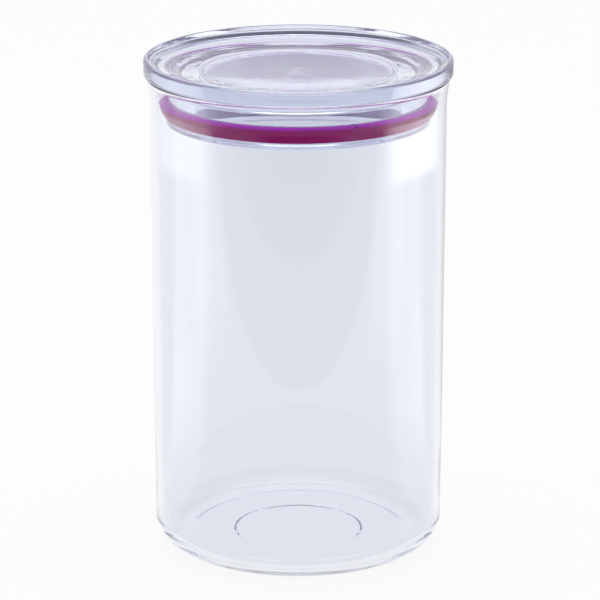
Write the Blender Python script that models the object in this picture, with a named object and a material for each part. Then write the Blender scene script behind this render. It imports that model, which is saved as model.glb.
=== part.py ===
"""Storage jar with a lid that plugs its mouth.

The body is one piece of clear glass with a flared, rounded lip and a hollowed foot. The lid is one
clear moulding. Its top is a shallow dish that falls from the rim to a thick round panel. Below it a
thick, hollow skirt goes down into the mouth. A silicone seal sits in a groove round the skirt and
bears on the glass. The lid lifts straight off.

Sizes are in metres. The jar stands on z = 0, and its axis is the z axis.
"""

import math

import bmesh
import bpy
from mathutils import Matrix, Vector

# How finely round shapes are cut
SEGMENTS = 64
CHORD_SAG = 0.00005  # the most that a chord of a fillet lies inside its arc
FEWEST_STEPS = 2
SHARP_ANGLE = math.radians(35)
TANGENT_SHARE = 0.96  # the most of an edge that the fillets at its two ends may take up
WELD_DISTANCE = 1e-7

# Glass body
JAR_HEIGHT = 0.1644  # to the top of the lip
JAR_RADIUS = 0.0500  # outside, where the wall is straight, just below the lip
JAR_DRAFT = 0.0006  # how much narrower the wall is at the foot
WALL = 0.0024
FLOOR = 0.0031  # height of the inside floor above the table
FOOT_CORNER = 0.0090  # outside radius where the wall turns into the foot
FOOT_RING_WIDTH = 0.0020  # the flat ring that the jar stands on
FOOT_HOLLOW = 0.0004  # how far the base inside that ring clears the table
FOOT_SLOPE = 0.0010  # width of the slope between the two
PUNT_RADIUS = 0.0216  # the deeper round hollow in the middle of the base
PUNT_DEPTH = 0.0006
PUNT_SLOPE = 0.0007

# Lip of the glass body
LIP_HEIGHT = 0.0075  # over this height the wall flares out to the lip
LIP_FLARE = 0.0012
LIP_THICKNESS = 0.0030
LIP_EDGE = 0.0013  # rounding of the lip, inside and out
LIP_BLEND = 0.0300  # long curve from the straight wall into the flare

# Gaps between the pieces
SEAT_GAP = 0.0003  # lid's rim above the lip
SEAL_GAP = 0.0003  # seal inside the glass
GROOVE_GAP = 0.0003  # seal in its groove, on each face

# Lid: rim and dished top
RIM_OVERHANG = 0.0021  # past the jar's straight wall
RIM_HEIGHT = 0.0053  # above the face that rests on the lip
RIM_TOP_EDGE = 0.0010
RIM_FOOT_EDGE = 0.0008
DISH_STEPS = (  # how far in, how far down and how rounded, from the rim to the flat panel
    (0.0015, 0.0000, 0.0010),
    (0.0020, 0.0009, 0.0015),
    (0.0046, 0.0011, 0.0020),
    (0.0060, 0.0013, 0.0020),
    (0.0045, 0.0006, 0.0020),
)
CEILING_THICKNESS = 0.0046  # panel at the edge of the skirt's hollow
CEILING_BULGE = 0.0009  # how much thicker the panel is in its middle, which bulges downwards
CEILING_STEPS = 6  # points along the bulge

# Lid: skirt
SKIRT_DEPTH = 0.0156  # below the rim
SKIRT_FILLET = 0.0038  # from the rim's underside into the skirt
SEAL_STAND_OUT = 0.0041  # the seal's widest part stands this far out from the skirt
GROOVE_DEPTH = 0.0012
SKIRT_WALL = 0.0071  # skirt left behind the groove, at its foot
HOLLOW_DRAFT = 0.0013  # how much narrower the hollow is at the ceiling
CEILING_FILLET = 0.0021
FLANGE_HEIGHT = 0.0020  # below the groove
FLANGE_STAND_OUT = 0.0014
FLANGE_EDGE = 0.0006

# Silicone seal
SEAL_HEIGHT = 0.0054
SEAL_TAPER = 0.0017  # how much narrower the seal is at its foot
SEAL_EDGE = 0.0005

# Heights of the lid in its own frame, whose z = 0 is the face that rests on the lip
panel_z = RIM_HEIGHT - sum(down for _, down, _ in DISH_STEPS)
ceiling_z = panel_z - CEILING_THICKNESS
skirt_foot_z = -SKIRT_DEPTH
groove_foot_z = skirt_foot_z + FLANGE_HEIGHT
seal_foot_z = groove_foot_z + GROOVE_GAP
seal_top_z = seal_foot_z + SEAL_HEIGHT
groove_top_z = seal_top_z + GROOVE_GAP
lid_seat_z = JAR_HEIGHT + SEAT_GAP

# Radii that one piece takes from another
foot_radius = JAR_RADIUS - JAR_DRAFT
bore_radius = JAR_RADIUS - WALL
rim_radius = JAR_RADIUS + RIM_OVERHANG
seal_radius = bore_radius - SEAL_GAP
skirt_radius = seal_radius - SEAL_STAND_OUT
groove_radius = skirt_radius - GROOVE_DEPTH
hollow_radius = groove_radius - SKIRT_WALL
flange_radius = skirt_radius + FLANGE_STAND_OUT


def clear_scene():
    """Removes what the scene starts with."""
    for thing in list(bpy.data.objects):
        bpy.data.objects.remove(thing)


def material(name, colour, roughness, transmission=0.0, ior=1.5):
    """A Principled BSDF material."""
    made = bpy.data.materials.new(name)
    made.use_nodes = True
    made.diffuse_color = (*colour, 1.0)
    shader = made.node_tree.nodes["Principled BSDF"]
    shader.inputs["Base Color"].default_value = (*colour, 1.0)
    shader.inputs["Roughness"].default_value = roughness
    shader.inputs["Metallic"].default_value = 0.0
    shader.inputs["Transmission Weight"].default_value = transmission
    shader.inputs["IOR"].default_value = ior
    return made


def arc_steps(radius, turn):
    """How many chords follow an arc closely enough."""
    sag_share = min(1, CHORD_SAG / radius)
    return max(FEWEST_STEPS, math.ceil(turn / (2 * math.acos(1 - sag_share))))


def rounded(corners):
    """The points of an outline given as corners (radius, height, fillet), with each fillet an arc.

    Where two fillets don't both fit on the edge between them, they shrink until they do.
    """
    count = len(corners)
    places = [Vector((radius, height)) for radius, height, _ in corners]
    fillets = [fillet for _, _, fillet in corners]
    halves, reaches = [], []
    for i, here in enumerate(places):
        half = (places[i - 1] - here).angle(places[(i + 1) % count] - here) / 2
        halves.append(half)
        reaches.append(fillets[i] / math.tan(half))
    shares = [1.0] * count
    for i in range(count):
        after = (i + 1) % count
        room = TANGENT_SHARE * (places[after] - places[i]).length
        used = reaches[i] + reaches[after]
        if used > room:
            shares[i] = min(shares[i], room / used)
            shares[after] = min(shares[after], room / used)
    points = []
    for i, here in enumerate(places):
        if not fillets[i]:
            points.append(here)
            continue
        reach = reaches[i] * shares[i]
        before = (places[i - 1] - here).normalized()
        after = (places[(i + 1) % count] - here).normalized()
        radius = reach * math.tan(halves[i])
        centre = here + (before + after).normalized() * (radius / math.sin(halves[i]))
        turn = math.pi - 2 * halves[i]
        if before.x * after.y - before.y * after.x > 0:
            turn = -turn
        start = here + before * reach - centre
        steps = arc_steps(radius, abs(turn))
        points += [centre + Matrix.Rotation(turn * k / steps, 2) @ start for k in range(steps + 1)]
    return points


def turned(name, corners, finish, carrier=None):
    """One solid of revolution: the rounded outline is spun a full turn about the z axis.

    An outline that starts and ends on the axis is left open there. Any other one is a closed loop.
    """
    points = rounded(corners)
    shape = bmesh.new()
    ring = [shape.verts.new((point.x, 0, point.y)) for point in points]
    on_axis = points[0].x == 0 and points[-1].x == 0
    ends = ring[1:] if on_axis else ring[1:] + ring[:1]
    edges = [shape.edges.new(pair) for pair in zip(ring, ends)]
    bmesh.ops.spin(
        shape,
        geom=ring + edges,
        cent=(0, 0, 0),
        axis=(0, 0, 1),
        angle=2 * math.pi,
        steps=SEGMENTS,
        use_merge=True,
    )
    bmesh.ops.remove_doubles(shape, verts=shape.verts, dist=WELD_DISTANCE)
    bmesh.ops.recalc_face_normals(shape, faces=shape.faces)
    mesh = bpy.data.meshes.new(name)
    shape.to_mesh(mesh)
    shape.free()
    mesh.shade_smooth()
    mesh.set_sharp_from_angle(angle=SHARP_ANGLE)
    mesh.materials.append(finish)
    made = bpy.data.objects.new(name, mesh)
    bpy.context.scene.collection.objects.link(made)
    made.parent = carrier
    return made


def jar_outline():
    """The glass body: up its outside from the middle of the base, over the lip and down inside."""
    punt_z = FOOT_HOLLOW + PUNT_DEPTH
    ring_inner_radius = foot_radius - FOOT_CORNER - FOOT_RING_WIDTH
    lip_radius = JAR_RADIUS + LIP_FLARE
    flare_z = JAR_HEIGHT - LIP_HEIGHT
    return [
        (0, punt_z, 0),
        (PUNT_RADIUS, punt_z, 0),
        (PUNT_RADIUS + PUNT_SLOPE, FOOT_HOLLOW, 0),
        (ring_inner_radius - FOOT_SLOPE, FOOT_HOLLOW, 0),
        (ring_inner_radius, 0, 0),
        (foot_radius, 0, FOOT_CORNER),
        (JAR_RADIUS, flare_z, LIP_BLEND),
        (lip_radius, JAR_HEIGHT, LIP_EDGE),
        (lip_radius - LIP_THICKNESS, JAR_HEIGHT, LIP_EDGE),
        (bore_radius, flare_z, LIP_BLEND),
        (foot_radius - WALL, FLOOR, FOOT_CORNER - WALL),
        (0, FLOOR, 0),
    ]


def lid_outline():
    """The lid: out over the dish, round the rim, down the skirt with its groove, and up inside."""
    dish = []
    radius, height = rim_radius, RIM_HEIGHT
    for inwards, down, fillet in DISH_STEPS:
        radius -= inwards
        height -= down
        dish.append((radius, height, fillet))
    ceiling_radius = hollow_radius - HOLLOW_DRAFT
    ceiling = []
    for step in range(CEILING_STEPS):
        share = step / CEILING_STEPS
        ceiling.append((share * ceiling_radius, ceiling_z - CEILING_BULGE * (1 - share**2), 0))
    return [
        (0, panel_z, 0),
        *reversed(dish),
        (rim_radius, RIM_HEIGHT, RIM_TOP_EDGE),
        (rim_radius, 0, RIM_FOOT_EDGE),
        (skirt_radius, 0, SKIRT_FILLET),
        (skirt_radius, groove_top_z, 0),
        (groove_radius, groove_top_z, 0),
        (groove_radius, groove_foot_z, 0),
        (flange_radius, groove_foot_z, 0),
        (flange_radius, skirt_foot_z, FLANGE_EDGE),
        (hollow_radius, skirt_foot_z, FLANGE_EDGE),
        (ceiling_radius, ceiling_z, CEILING_FILLET),
        *reversed(ceiling),
    ]


def seal_outline():
    """The seal: flat above and below, with an outer face that widens from its foot to its top."""
    inner_radius = groove_radius + GROOVE_GAP
    return [
        (inner_radius, seal_foot_z, 0),
        (seal_radius - SEAL_TAPER, seal_foot_z, SEAL_EDGE),
        (seal_radius, seal_top_z, SEAL_EDGE),
        (inner_radius, seal_top_z, 0),
    ]


def build():
    clear_scene()
    glass = material("clear_glass", (0.93, 0.95, 0.98), 0.02, transmission=1.0, ior=1.47)
    plastic = material("clear_plastic", (0.94, 0.95, 0.98), 0.03, transmission=1.0, ior=1.57)
    silicone = material("purple_silicone", (0.36, 0.03, 0.30), 0.45)

    # The lid and its seal lift together along the axis, from where the lid rests on the lip
    lid_lift = bpy.data.objects.new("lid_lift", None)
    bpy.context.scene.collection.objects.link(lid_lift)
    lid_lift.location = (0, 0, lid_seat_z)

    turned("jar_body", jar_outline(), glass)
    turned("lid", lid_outline(), plastic, carrier=lid_lift)
    turned("seal_ring", seal_outline(), silicone, carrier=lid_lift)


build()
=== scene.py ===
# %% [markdown]
# # A clear storage jar with a plug lid
#
# The jar is three pieces: a pressed glass body, a clear moulded lid, and a purple silicone seal
# in a groove round the lid's skirt. All three are turned shapes, the same all the way round, and
# almost everything that the eye sees in them is light that went through them. The frame has the
# pieces at their real size, cut coarsely. Here each is made again with a fine, smooth surface,
# because clear things show every flat facet.

import math

import bmesh
import bpy
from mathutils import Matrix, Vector


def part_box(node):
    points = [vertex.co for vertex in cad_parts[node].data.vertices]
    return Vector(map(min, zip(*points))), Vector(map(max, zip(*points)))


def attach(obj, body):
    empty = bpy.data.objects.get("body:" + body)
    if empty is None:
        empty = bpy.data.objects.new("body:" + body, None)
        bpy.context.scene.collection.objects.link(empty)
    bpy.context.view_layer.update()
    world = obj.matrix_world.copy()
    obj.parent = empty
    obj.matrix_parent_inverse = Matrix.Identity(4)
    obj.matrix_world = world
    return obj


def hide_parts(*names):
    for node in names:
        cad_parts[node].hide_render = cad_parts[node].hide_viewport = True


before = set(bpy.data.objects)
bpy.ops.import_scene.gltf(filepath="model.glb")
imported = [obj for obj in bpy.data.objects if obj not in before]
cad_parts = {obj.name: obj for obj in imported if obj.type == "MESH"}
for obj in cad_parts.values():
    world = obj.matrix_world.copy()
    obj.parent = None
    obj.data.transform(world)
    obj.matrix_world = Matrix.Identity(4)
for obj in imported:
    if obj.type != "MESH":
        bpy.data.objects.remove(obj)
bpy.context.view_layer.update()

# %% [markdown]
# ## Sizes
#
# Every size is in metres and is named once. The heights that the pieces share are read from the
# frame's boxes, so that the fine pieces stay exactly where the frame has them.

# %% Sizes of the glass body
MM = 0.001

_, jar_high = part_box("jar_body")
jar_height = jar_high.z
jar_radius = 50.0 * MM
foot_radius = 49.4 * MM
wall = 2.4 * MM
floor_z = 3.1 * MM
foot_corner = 9.0 * MM
foot_ring_width = 2.0 * MM
foot_hollow = 0.4 * MM
foot_slope = 2.6 * MM
punt_radius = 21.6 * MM
punt_z = 1.0 * MM
punt_slope = 0.7 * MM
lip_height = 7.5 * MM
lip_flare = 1.2 * MM
lip_thickness = 3.0 * MM
lip_edge = 1.3 * MM
lip_blend = 30.0 * MM
print("jar:", round(jar_height / MM, 2), "mm high")

# %% Sizes of the lid's rim and dish
lid_low, lid_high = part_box("lid")
seat_z = jar_height + 0.3 * MM
rim_z = lid_high.z
rim_radius = 52.1 * MM
rim_top_edge = 1.0 * MM
rim_foot_edge = 0.8 * MM
dish_steps = (  # mm in, mm down and mm of rounding, from the rim to the flat panel
    (1.5, 0.0, 1.0),
    (2.0, 0.9, 1.5),
    (4.6, 1.1, 2.0),
    (6.0, 1.3, 2.0),
    (4.5, 0.6, 2.0),
)
panel_z = seat_z + 1.4 * MM
print("lid's rim:", round(rim_z / MM, 2), "mm high, panel:", round(panel_z / MM, 2), "mm high")

# %% Sizes of the skirt and the seal
seal_low, seal_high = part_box("seal_ring")
ceiling_thickness = 4.6 * MM
ceiling_z = panel_z - ceiling_thickness
ceiling_bulge = 0.9 * MM
ceiling_steps = 24
ceiling_fillet = 2.1 * MM
skirt_foot_z = lid_low.z
skirt_radius = 43.2 * MM
skirt_fillet = 3.8 * MM
groove_depth = 1.2 * MM
groove_radius = skirt_radius - groove_depth
skirt_wall = 7.1 * MM
hollow_radius = groove_radius - skirt_wall
hollow_draft = 1.3 * MM
groove_gap = 0.3 * MM
groove_foot_z = seal_low.z - groove_gap
groove_top_z = seal_high.z + groove_gap
groove_edge = 0.15 * MM
flange_radius = skirt_radius + 1.4 * MM
flange_edge = 0.6 * MM
seal_radius = 46.7 * MM
seal_taper = 1.8 * MM
seal_edge = 0.5 * MM
print("skirt's foot:", round(skirt_foot_z / MM, 2), "mm high, groove from", end=" ")
print(round(groove_foot_z / MM, 2), "to", round(groove_top_z / MM, 2), "mm")

# %% [markdown]
# ## Turning a section
#
# A turned piece could be a line spun round the axis with the Spin operator, or a Screw modifier
# on a drawn curve. Here it grows as on a potter's wheel: a circle is added at the start of the
# section, and then extruded, moved and scaled to each next corner. That keeps one clean row of
# faces between two corners, so the bevel operator can round every corner with its own radius.
#
# A bevel asks how far its new edges lie from the old one. Where a wall turns by some angle, a
# radius r needs r times the tangent of half that angle, which is what `reach` works out.

# %% Edit mode
ROUND = 256  # corners in one turn
NEAR = 0.02 * MM  # how close to a radius and a height an edge has to be


def start_editing(piece):
    bpy.ops.object.select_all(action="DESELECT")
    bpy.context.view_layer.objects.active = piece
    piece.select_set(True)
    bpy.ops.object.mode_set(mode="EDIT")


print("one facet of the wall is", round(math.tau * jar_radius / ROUND / MM, 2), "mm wide")


# %% Selecting a ring
def select_ring(piece, radius, height, add=False):
    """Selects the edges that run round the piece at this radius and height."""
    bpy.ops.mesh.select_mode(type="EDGE")
    if not add:
        bpy.ops.mesh.select_all(action="DESELECT")
    shape = bmesh.from_edit_mesh(piece.data)
    for edge in shape.edges:
        if all(
            abs(math.hypot(v.co.x, v.co.y) - radius) < NEAR and abs(v.co.z - height) < NEAR
            for v in edge.verts
        ):
            edge.select = True
    bmesh.update_edit_mesh(piece.data)


# %% Rounding a corner
def reach(before, here, after, rounding):
    """How far a rounding of this radius runs back from its corner."""
    arriving = Vector(here[:2]) - Vector(before[:2])
    leaving = Vector(after[:2]) - Vector(here[:2])
    return rounding * math.tan(arriving.angle(leaving) / 2)


foot_reach = reach((0, 0), (foot_radius, 0), (foot_radius, jar_height), foot_corner)
print("the foot's rounding starts", round(foot_reach / MM, 2), "mm from its corner")


# %% Growing by one corner
def extrude_to(radius, height, next_radius, next_height):
    bpy.ops.mesh.extrude_region_move(TRANSFORM_OT_translate={"value": (0, 0, next_height - height)})
    share = next_radius / radius
    bpy.ops.transform.resize(value=(share, share, 1), center_override=(0, 0, next_height))


# %% Turning a piece
def turned(name, section, steps, closed_ring=False):
    """A piece of revolution, whose section is given as corners (radius, height, rounding).

    Each rounding is cut in this many steps. A plain piece starts and ends with a flat round face.
    A closed ring joins its last corner to its first instead.
    """
    radius, height, _ = section[0]
    bpy.ops.object.select_all(action="DESELECT")
    bpy.ops.mesh.primitive_circle_add(
        vertices=ROUND,
        radius=radius,
        fill_type="NOTHING" if closed_ring else "NGON",
        location=(0, 0, height),
    )
    piece = bpy.context.active_object
    piece.name = name
    bpy.ops.object.transform_apply(location=True, rotation=True, scale=True)
    start_editing(piece)
    bpy.ops.mesh.select_mode(type="EDGE" if closed_ring else "FACE")
    bpy.ops.mesh.select_all(action="SELECT")
    for next_radius, next_height, _ in section[1:]:
        extrude_to(radius, height, next_radius, next_height)
        radius, height = next_radius, next_height
    if closed_ring:
        select_ring(piece, *section[0][:2])
        select_ring(piece, *section[-1][:2], add=True)
        bpy.ops.mesh.bridge_edge_loops()
    for i, here in enumerate(section):
        if here[2]:
            before = section[i - 1] if i or closed_ring else (0, here[1])
            after = section[(i + 1) % len(section)]
            if i == len(section) - 1 and not closed_ring:
                after = (0, here[1])
            select_ring(piece, *here[:2])
            bpy.ops.mesh.bevel(
                offset=reach(before, here, after, here[2]), offset_type="OFFSET", segments=steps
            )
    return piece


# %% Smoothing it
def finish_turning(piece):
    """Turns the faces outwards and smooths the shading, with the flat faces kept flat."""
    bpy.ops.mesh.select_all(action="SELECT")
    bpy.ops.mesh.normals_make_consistent(inside=False)
    bpy.ops.object.mode_set(mode="OBJECT")
    bpy.ops.object.shade_smooth()
    weighted = piece.modifiers.new("flats_stay_flat", "WEIGHTED_NORMAL")
    weighted.weight = 100
    bpy.ops.object.modifier_apply(modifier=weighted.name)
    print(piece.name, len(piece.data.polygons), "faces")


# %% [markdown]
# ## The glass body
#
# The real body is pressed in a mould, so it has a slight taper, a generous foot corner, and a base
# that stands on a narrow ring. The shallow round hollow in the base is the thin circle that shows
# through the wall. At the mouth the wall swings out in a long curve and ends in a thick, fully
# rounded lip. The outside and the inside are one closed surface, because glass bends light at both
# of its faces, and a wall without thickness would look like a soap bubble.

# %% Glass body
foot_ring_inner = foot_radius - foot_corner - foot_ring_width
lip_radius = jar_radius + lip_flare
flare_z = jar_height - lip_height
bore_radius = jar_radius - wall

jar_body = turned(
    "glass_body",
    [
        (punt_radius, punt_z, 0.3 * MM),
        (punt_radius + punt_slope, foot_hollow, 0.3 * MM),
        (foot_ring_inner - foot_slope, foot_hollow, 6.0 * MM),
        (foot_ring_inner, 0, 6.0 * MM),
        (foot_radius, 0, foot_corner),
        (jar_radius, flare_z, lip_blend),
        (lip_radius, jar_height, lip_edge),
        (lip_radius - lip_thickness, jar_height, lip_edge),
        (bore_radius, flare_z, lip_blend),
        (foot_radius - wall, floor_z, foot_corner - wall),
    ],
    steps=16,
)
finish_turning(jar_body)

# %% [markdown]
# ## The lid
#
# The lid is one clear moulding. Its top is a shallow dish that falls from the rim to a flat round
# panel. Below it a thick skirt fills the mouth. The skirt is hollow from below, which makes the
# round window in the middle of the lid. Its ceiling runs into its wall in a wide fillet, and that
# fillet is the double line round the window. The ceiling bulges down a little, so the window is a
# weak lens, and it shows the seal at its far side drawn out into a pale purple oval; that pale
# purple is the painted light on the seal's inner face. The hollow is a little wider at its foot,
# so that the moulding comes off its core. A groove near the skirt's foot holds the seal, and a
# thin flange below it keeps the seal from slipping off.

# %% Lid
ceiling_radius = hollow_radius - hollow_draft
bulge = []
for step in range(1, ceiling_steps):
    share = step / ceiling_steps
    bulge.append((share * ceiling_radius, ceiling_z - ceiling_bulge * (1 - share**2), 0))

dish = []
dish_radius, dish_z = rim_radius, rim_z
for inwards, down, rounding in dish_steps:
    dish_radius -= inwards * MM
    dish_z -= down * MM
    dish.append((dish_radius, dish_z, rounding * MM))

lid = turned(
    "clear_lid",
    [
        *bulge,
        (ceiling_radius, ceiling_z, ceiling_fillet),
        (hollow_radius, skirt_foot_z, flange_edge),
        (flange_radius, skirt_foot_z, flange_edge),
        (flange_radius, groove_foot_z, groove_edge),
        (groove_radius, groove_foot_z, groove_edge),
        (groove_radius, groove_top_z, groove_edge),
        (skirt_radius, groove_top_z, groove_edge),
        (skirt_radius, seat_z, skirt_fillet),
        (rim_radius, seat_z, rim_foot_edge),
        (rim_radius, rim_z, rim_top_edge),
        *dish,
    ],
    steps=6,
)
finish_turning(lid)

# %% [markdown]
# ## The seal
#
# The seal is a solid silicone ring. Its outer face leans in towards its foot, so that the ring
# folds up against the glass as the lid goes down. It is turned as a closed ring: the circle has
# no face, and the last corner of its section is bridged to the first.

# %% Seal
seal_hold = 0.05 * MM  # how far its inner face goes into the groove's wall, to leave no air
seal_inner_radius = groove_radius - seal_hold
seal = turned(
    "silicone_seal",
    [
        (seal_inner_radius, seal_low.z, groove_edge),
        (seal_radius - seal_taper, seal_low.z, seal_edge),
        (seal_radius, seal_high.z, seal_edge),
        (seal_inner_radius, seal_high.z, groove_edge),
    ],
    steps=6,
    closed_ring=True,
)
finish_turning(seal)

# %% [markdown]
# ## Writing shaders as sums
#
# A material could be wired by hand, node by node. Its sums are easier to read as sums, so a
# `Wire` stands for one output socket and knows how to add, subtract, multiply and divide. Each
# sum adds a Math node.


# %% Wires
class Wire:
    """An output socket that can stand in a sum."""

    def __init__(self, nodes, socket):
        self.nodes = nodes
        self.socket = socket

    def sum(self, operation, first, second):
        return self.nodes.add("ShaderNodeMath", {"operation": operation}, {0: first, 1: second})

    def __add__(self, other):
        return self.sum("ADD", self, other)

    __radd__ = __add__

    def __sub__(self, other):
        return self.sum("SUBTRACT", self, other)

    def __rsub__(self, other):
        return self.sum("SUBTRACT", other, self)

    def __mul__(self, other):
        return self.sum("MULTIPLY", self, other)

    __rmul__ = __mul__

    def __truediv__(self, other):
        return self.sum("DIVIDE", self, other)

    def __rtruediv__(self, other):
        return self.sum("DIVIDE", other, self)

    def fade(self, start, end, low=0.0, high=1.0):
        """Runs smoothly from low to high while this value runs from start to end."""
        return self.nodes.add(
            "ShaderNodeMapRange",
            {"interpolation_type": "SMOOTHSTEP"},
            {"Value": self, "From Min": start, "From Max": end, "To Min": low, "To Max": high},
        )


# %% [markdown]
# Every other node comes from `Nodes.add`, which sets its settings first and then feeds its
# sockets with numbers, colours or wires. The rest of `Nodes` names the few nodes that each
# finish here needs.


# %% Nodes
class Nodes:
    """A node tree, with one way to add a node to it."""

    def __init__(self, tree):
        self.tree = tree

    def feed(self, socket, value):
        if isinstance(value, Wire):
            self.tree.links.new(value.socket, socket)
        else:
            socket.default_value = value

    def add(self, kind, settings=None, sockets=None, out=0):
        made = self.tree.nodes.new(kind)
        for name, value in (settings or {}).items():
            setattr(made, name, value)
        for name, value in (sockets or {}).items():
            self.feed(made.inputs[name], value)
        return Wire(self, made.outputs[out])

    def blend(self, mask, first, second):
        """A colour that is the first where the mask is 0 and the second where it is 1."""
        return self.add(
            "ShaderNodeMix", {"data_type": "RGBA"}, {0: mask, 6: first, 7: second}, out=2
        )

    def place(self, stretch=(1, 1, 1)):
        """Points of the piece, in metres, stretched along each axis."""
        points = self.add("ShaderNodeTexCoord", out="Object")
        return self.add("ShaderNodeMapping", sockets={"Vector": points, "Scale": stretch})

    def noise(self, points, scale, detail=2.0):
        return self.add(
            "ShaderNodeTexNoise", sockets={"Vector": points, "Scale": scale, "Detail": detail}
        )

    def parts(self, points):
        """The x, y and z of a point, and its distance from the axis."""
        split = self.add("ShaderNodeSeparateXYZ", sockets={0: points}).socket.node
        x, y, z = (Wire(self, split.outputs[i]) for i in range(3))
        flat = self.add("ShaderNodeCombineXYZ", sockets={0: x, 1: y})
        radius = self.add("ShaderNodeVectorMath", {"operation": "LENGTH"}, {0: flat}, out="Value")
        return x, y, z, radius

    def bump(self, height, distance):
        return self.add("ShaderNodeBump", sockets={"Height": height, "Distance": distance})


# %% A finish
def new_finish(name, plain):
    """A material whose shader has these plain values, and the nodes to vary it with."""
    made = bpy.data.materials.new(name)
    made.use_nodes = True
    shader = made.node_tree.nodes["Principled BSDF"]
    for socket, value in plain.items():
        shader.inputs[socket].default_value = value
    return made, Nodes(made.node_tree), shader.inputs


def coat(piece, finish):
    piece.data.materials.clear()
    piece.data.materials.append(finish)
    print(piece.name, "has", finish.name, "of", len(finish.node_tree.nodes), "nodes")


# %% [markdown]
# ## Glass
#
# Glass could be the Glass shader, but the Principled one keeps the finish readable to other
# programs. Its colour works at each face that light goes through, so a pale blue-grey gives
# the cool tone of two walls. Three things keep it from looking like a computer's glass:
#
# - Pressing leaves slow vertical waves, which break up the reflections near the sides. The foot
#   is smooth, because there they would tear its thin bright lines.
# - The flat base is painted paler than the wall: painted light, which lightens the paper seen
#   through the base and the wall together.
# - Handling leaves a very faint haze in patches.

# %% Glass finish
glass_tint = (0.874, 0.892, 0.936, 1)
# painted light: a paler tint for the base, to lighten what is seen through it and the wall
painted_pale_base_tint = (0.945, 0.955, 0.985, 1)

glass, g, glass_in = new_finish(
    "pressed_glass", {"Transmission Weight": 1.0, "IOR": 1.5, "Roughness": 0.0}
)
_, _, z, radius = g.parts(g.place())
# painted light: where the base is tinted paler than the wall
painted_pale_base = z.fade(8 * MM, 4 * MM) * radius.fade(44 * MM, 38 * MM)
patches = g.noise(g.place(), scale=22.0)
g.feed(glass_in["Base Color"], g.blend(painted_pale_base, glass_tint, painted_pale_base_tint))
g.feed(glass_in["Roughness"], patches.fade(0.55, 0.75) * 0.02)

slow_waves = g.noise(g.place(stretch=(1, 1, 0.12)), scale=55.0, detail=1.0)
fine_waves = g.noise(g.place(stretch=(1, 1, 0.06)), scale=240.0, detail=1.0)
above_foot = z.fade(6 * MM, 30 * MM)
waves = (slow_waves + fine_waves * 0.06) * above_foot
g.feed(glass_in["Normal"], g.bump(waves, 0.05 * MM))
coat(jar_body, glass)

# %% [markdown]
# ## Clear plastic
#
# The lid is a clear plastic that bends light more than glass, with a cooler, slightly violet
# tone, which is deeper in the thick rim. It was filled from the middle, and its top shows that
# when light skims over it: rings of flow, too shallow to feel. Being softer than glass, it also
# has hair scratches on the dish, where other jars have stood. A scratch is a thin peak of a
# stretched noise, and is only drawn on the top.

# %% Plastic finish
plastic_tint = (0.93, 0.945, 1.0, 1)
deep_plastic_tint = (0.62, 0.66, 0.78, 1)

plastic, p, plastic_in = new_finish(
    "clear_plastic", {"Transmission Weight": 1.0, "IOR": 1.55, "Roughness": 0.0}
)
_, _, z, radius = p.parts(p.place())
on_rim = radius.fade(dish[1][0] - 1 * MM, dish[0][0])
p.feed(plastic_in["Base Color"], p.blend(on_rim, plastic_tint, deep_plastic_tint))

ring_width = 1.6 * MM
warp = p.noise(p.place(), scale=30.0)
turns = radius / ring_width + warp * 5.0
flow = p.add("ShaderNodeMath", {"operation": "SINE"}, {0: turns * math.tau})
on_top = z.fade(panel_z - 0.5 * MM, panel_z - 0.1 * MM)
streaks = p.noise(p.place(stretch=(1, 0.03, 1)), scale=900.0, detail=1.0)
other_streaks = p.noise(p.place(stretch=(0.03, 1, 1)), scale=700.0, detail=1.0)
scratches = (streaks.fade(0.72, 0.80) + other_streaks.fade(0.74, 0.82)) * on_top
p.feed(plastic_in["Roughness"], scratches * 0.12 + warp.fade(0.5, 0.8) * 0.01)
p.feed(plastic_in["Normal"], p.bump(flow * 0.10 - scratches * 0.5, 0.01 * MM))
coat(lid, plastic)

# %% [markdown]
# ## Silicone
#
# Silicone is satin and lets a little light in, which a plain subsurface weight gives. The bright
# magenta of its top face and the pale lilac of its inner face are painted light: the top face is
# painted for the light that falls on it from above, and the inner face for the light that comes
# through the ring from behind, while the rest keeps a deep plum. On top of it come what a moulded
# ring has: cloudy pigment, a fine matt grain, a joint line across the ring, and a small nick near
# the joint, both where the photo has them.

# %% Silicone finish
silicone, s, silicone_in = new_finish(
    "purple_silicone",
    {
        "IOR": 1.41,
        "Specular IOR Level": 0.2,
        "Subsurface Weight": 0.7,
        "Subsurface Radius": (3.0, 0.6, 3.0),
        "Subsurface Scale": 2.5 * MM,
    },
)
plum = (0.66, 0.006, 0.28, 1)
deep_plum = (0.50, 0.002, 0.22, 1)
# painted light: magenta for the top face lit from above, lilac for the inner face lit through the
# ring
painted_top_magenta = (1.0, 0.0, 1.0, 1)
painted_inner_lilac = (0.80, 0.75, 1.0, 1)
mark_colour = (0.05, 0.0, 0.03, 1)
x, y, z, radius = s.parts(s.place())
turn = s.add("ShaderNodeMath", {"operation": "ARCTAN2"}, {0: x, 1: y * -1})


# %% Marks on the seal
def stripe(degrees, half_width):
    """1 on a line across the ring, this far round from the front, and 0 away from it."""
    off = turn - math.radians(degrees)
    away = s.add("ShaderNodeMath", {"operation": "ABSOLUTE"}, {0: off})
    return away.fade(half_width, half_width * 0.4)


joint = stripe(32, 0.008)
nick = stripe(23.8, 0.012) * z.fade(seal_high.z - 1.2 * MM, seal_high.z - 0.6 * MM)

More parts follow.
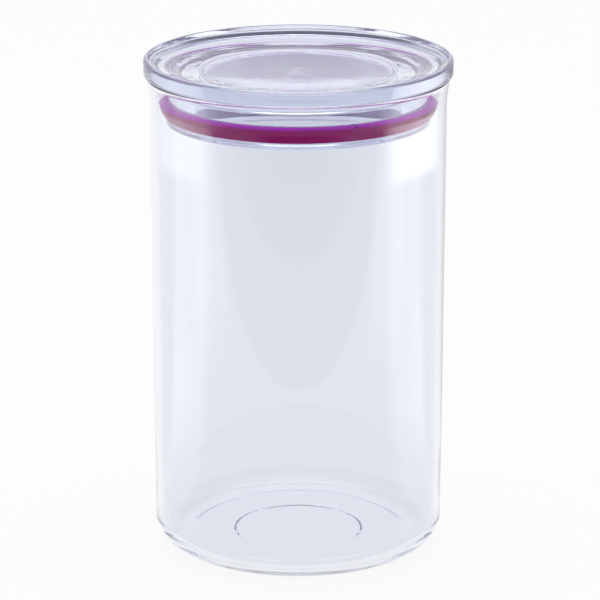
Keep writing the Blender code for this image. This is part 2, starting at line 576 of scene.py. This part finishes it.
# %% Colour of the seal, with painted light on its top and inner face, and its grain
# painted light: the top band is painted magenta and the inner face lilac, for the light on them
painted_lit_top = z.fade(seal_high.z - 0.9 * MM, seal_high.z - 0.2 * MM)
painted_lit_inner = radius.fade(seal_inner_radius + 1.5 * MM, seal_inner_radius + 0.8 * MM)
clouds = s.noise(s.place(), scale=60.0, detail=3.0)
colour_with_painted_light = s.blend(painted_lit_inner, s.blend(painted_lit_top, plum, painted_top_magenta), painted_inner_lilac)
cloudy = s.blend(clouds.fade(0.35, 0.75) * 0.18, colour_with_painted_light, deep_plum)
s.feed(silicone_in["Base Color"], s.blend(nick * 0.8 + joint * 0.25, cloudy, mark_colour))
s.feed(silicone_in["Roughness"], 0.38 + clouds * 0.12)
grain = s.noise(s.place(), scale=5200.0)
s.feed(silicone_in["Normal"], s.bump(grain * 0.4 - nick - joint * 0.6, 0.05 * MM))
coat(seal, silicone)

# %% [markdown]
# ## Which body each piece rides on
#
# The glass stays on the table. The lid and its seal lift together.

# %% Bodies
for piece, body, node, slot in (
    (jar_body, "jar", "jar_body", "glass"),
    (lid, "lid", "lid", "lid_plastic"),
    (seal, "lid", "seal_ring", "seal_silicone"),
):
    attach(piece, body)
    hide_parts(node)
    print(piece.name, "rides on", body, "and stands for", node)

# %% [markdown]
# ## Floor
#
# The photo is a bright-field shot, as clear things usually are: white paper under and behind
# the jar, and nothing bright on the camera's side, so that the glass draws itself in darker
# lines. The paper is a plain diffuse sheet. To a ray from the camera, also by way of glass,
# it shows mostly as plain white, and keeps a part of its own shading for the jar's shadow.
#
# `Light Path` tells the paper which kind of ray has reached it.

# %% Paper
paper_size = 5
paper_white = (0.93, 0.93, 0.93, 1)
paper_fibre = (0.90, 0.90, 0.90, 1)
bpy.ops.object.select_all(action="DESELECT")
bpy.ops.mesh.primitive_plane_add(size=paper_size, location=(0, 0, 0))
paper_sheet = bpy.context.active_object
paper_sheet.name = "studio_floor"
paper, n, paper_in = new_finish("white_paper", {"Roughness": 0.9})
fibres = n.noise(n.place(), scale=900.0, detail=3.0)
n.feed(paper_in["Base Color"], n.blend(fibres, paper_white, paper_fibre))
n.feed(paper_in["Normal"], n.bump(fibres, 0.05 * MM))

# %% [markdown]
# A real studio also has a lamp on either side. Here the paper stands in for them, and shines a
# little more to the left and right of the jar. Only rays that were mirrored on their way find
# that, and Glossy Depth counts the mirrorings. They draw the two pale bands down the glass.


# %% Mirrored light
def of_ray(nodes, fact):
    """What Light Path knows about the ray that has reached this point."""
    return nodes.add("ShaderNodeLightPath", out=fact)


def was_mirrored(nodes):
    """1 for a ray that was mirrored on its way, and 0 for any other."""
    return of_ray(nodes, "Glossy Depth").fade(0.2, 0.8)


# %% The strips beside the jar
strip_start = 80 * MM
strip_full = 230 * MM
strip_extra = 0.75
x, y, _, radius = n.parts(n.place())
across = n.add("ShaderNodeMath", {"operation": "ABSOLUTE"}, {0: x})
behind = y / across  # 0 is straight to the side, and less than 0 is nearer the camera
strip = behind.fade(-0.45, -0.20) * behind.fade(0.45, 0.20) * radius.fade(strip_start, strip_full)
brightness = 1.0 + strip * strip_extra * was_mirrored(n)
print("the strips begin", round(strip_start / MM), "mm from the jar's axis")

# %% [markdown]
# The seal sits high up, so the light that is mirrored in the glass over it left the paper farther
# out. The strips are brighter there, most of all on the right, which pales the ends of the seal.
# The paper behind the jar on the right is a little darker, for the right end of the lid's rim.

# %% The strips farther out
far_start = 525 * MM
far_full = 560 * MM
left_extra = 1.4
right_extra = 3.2
rear_dimming = 0.5
far_strip = behind.fade(-0.50, -0.10) * behind.fade(1.2, 0.2) * radius.fade(far_start, far_full)
far_strip = far_strip * x.fade(-100 * MM, 100 * MM, left_extra, right_extra)
right_rear = behind.fade(0.8, 2.0) * x.fade(0, 60 * MM)
last_mirrored = of_ray(n, "Is Glossy Ray") * (1 - of_ray(n, "Is Transmission Ray"))
brightness = brightness + (far_strip - right_rear * rear_dimming) * last_mirrored
print("they brighten from", round(far_start / MM), "mm on")

# %% Paper that shows white
white_share = 0.92
white = n.add("ShaderNodeEmission", sockets={"Color": brightness})
shaded = Wire(n, paper.node_tree.nodes["Principled BSDF"].outputs[0])
seen = of_ray(n, "Is Camera Ray") + of_ray(n, "Is Glossy Ray") + of_ray(n, "Is Transmission Ray")
share = seen.fade(0, 1) * white_share
mixed = n.add("ShaderNodeMixShader", sockets={0: share, 1: shaded, 2: white})
n.feed(paper.node_tree.nodes["Material Output"].inputs["Surface"], mixed)
coat(paper_sheet, paper)

# %% [markdown]
# A dark card lies on the paper in front of the jar, out of the picture. The two faint curves
# that hang like a U on the glass are its edge, mirrored once in the front of the wall and once in
# the back. It is a sheet of painted shade, grey near the jar and nearly black farther out, for the
# dim studio on the camera's side. It is there for the mirrored light alone, so it is clear to
# every ray that wasn't mirrored, and it casts no shadow on the paper.

# %% Dark card
card_edge_y = -246 * MM
card_length = 1600 * MM
card_width = 4800 * MM
card_height = 1 * MM
bpy.ops.object.select_all(action="DESELECT")
bpy.ops.mesh.primitive_plane_add(size=1, location=(0, card_edge_y - card_length / 2, card_height))
dark_card = bpy.context.active_object
dark_card.name = "dark_card"
bpy.ops.transform.resize(value=(card_width, card_length, 1))
bpy.ops.object.transform_apply(location=True, rotation=True, scale=True)
dark_card.visible_camera = False
dark_card.visible_diffuse = False
dark_card.visible_shadow = False

# %% The card's painted shade
# painted shade: the card runs from grey near the jar to nearly black farther out
card_lit_grey = (0.60, 0.60, 0.62, 1)
card_shaded_dark = (0.08, 0.08, 0.09, 1)
nap_dark = (0.05, 0.05, 0.05, 1)
shade_card, c, shade_card_in = new_finish("dark_card_painted_shade", {"Roughness": 0.8})
nap = c.noise(c.place(), scale=500.0)
_, y, _, _ = c.parts(c.place())
painted_falloff = y.fade(card_edge_y - 240 * MM, card_edge_y - 360 * MM)
painted_falloff_grey = c.blend(painted_falloff, card_lit_grey, card_shaded_dark)
c.feed(shade_card_in["Base Color"], c.blend(nap * 0.15, painted_falloff_grey, nap_dark))
unseen = c.add("ShaderNodeBsdfTransparent")
shaded = Wire(c, shade_card.node_tree.nodes["Principled BSDF"].outputs[0])
mixed = c.add("ShaderNodeMixShader", sockets={0: was_mirrored(c), 1: unseen, 2: shaded})
c.feed(shade_card.node_tree.nodes["Material Output"].inputs["Surface"], mixed)
coat(dark_card, shade_card)

# %% [markdown]
# ## Light
#
# The world is a white studio that dims towards the camera's side, and turns a little blue
# overhead, which tints what the lid's top mirrors. A weak soft box stands on either side and a
# larger one hangs overhead. The two at the sides don't show in the glass.

# %% World
world = bpy.data.worlds.new("studio")
bpy.context.scene.world = world
world.use_nodes = True
w = Nodes(world.node_tree)
backdrop_white = (1.0, 1.0, 1.0, 1)
haze = (0.90, 0.92, 1.0, 1)
overhead = (0.51, 0.54, 0.72, 1)
dim_grey = (0.10, 0.10, 0.12, 1)
front_up = (0.60, 0.62, 0.72, 1)
direction = w.add("ShaderNodeTexCoord", out="Generated")
_, y, z, _ = w.parts(direction)
behind = w.blend(z.fade(0.08, 0.18), backdrop_white, haze)
behind = w.blend(z.fade(0.30, 0.60), behind, overhead)
front = w.blend(z.fade(0.50, 0.75), dim_grey, front_up)
room = w.blend(y.fade(0.05, 0.50), front, behind)
w.feed(world.node_tree.nodes["Background"].inputs["Color"], room)
world.node_tree.nodes["Background"].inputs["Strength"].default_value = 1.0
print("world:", len(world.node_tree.nodes), "nodes")


# %% Lamps
def soft_box(name, place, aim, size, watts):
    """A rectangular lamp at a place, turned to face a point."""
    data = bpy.data.lights.new(name, "AREA")
    data.shape = "RECTANGLE"
    data.size, data.size_y = size
    data.energy = watts
    lamp = bpy.data.objects.new(name, data)
    bpy.context.scene.collection.objects.link(lamp)
    lamp.location = place
    lamp.rotation_euler = (Vector(aim) - Vector(place)).to_track_quat("-Z", "Y").to_euler()
    lamp.visible_camera = False
    print(name, "gives", watts, "W")
    return lamp


for side in (-1, 1):
    fill = soft_box(
        "soft_box_left" if side < 0 else "soft_box_right",
        place=(side * 0.9, -0.3, 0.35),
        aim=(0, 0, 0.10),
        size=(0.4, 0.9),
        watts=1.2,
    )
    fill.visible_glossy = False
    fill.visible_transmission = False
soft_box("soft_box_top", place=(0, 0.35, 1.6), aim=(0, 0, 0.1), size=(1.2, 1.2), watts=9.0)

# %% [markdown]
# Light bounces many times inside the clear rim before it finds a way out. Cycles drops a path
# after four mirror bounces, which would draw black lines in the lid, so the limits are higher.

# %% Light paths
most_bounces = 32
light_paths = bpy.context.scene.cycles
light_paths.max_bounces = most_bounces
light_paths.glossy_bounces = most_bounces
light_paths.transmission_bounces = most_bounces
print("bounces:", light_paths.max_bounces)

# %% [markdown]
# ## Camera
#
# A pinhole camera was fitted to the jar's outline, rim and base in the photo. It stands a little
# over a metre away and looks down by about 17 degrees.

# %% Camera
CAMERA_DISTANCE = 1130.5 * MM
CAMERA_HEIGHT = 426.2 * MM
CAMERA_PITCH = math.radians(16.804)
FOCAL_PIXELS = 3446.9
PHOTO_PIXELS = 600
AXIS_PIXEL = 298.27

camera_data = bpy.data.cameras.new("camera")
camera = bpy.data.objects.new("camera", camera_data)
bpy.context.scene.collection.objects.link(camera)
camera.location = (0, -CAMERA_DISTANCE, CAMERA_HEIGHT)
camera.rotation_euler = (math.pi / 2 - CAMERA_PITCH, 0, 0)
camera_data.sensor_width = 36
camera_data.lens = camera_data.sensor_width * FOCAL_PIXELS / PHOTO_PIXELS
camera_data.shift_x = (PHOTO_PIXELS / 2 - AXIS_PIXEL) / PHOTO_PIXELS
bpy.context.scene.camera = camera
bpy.context.scene.view_settings.view_transform = "Standard"
print("lens:", round(camera_data.lens, 1), "mm, shift:", round(camera_data.shift_x, 4))
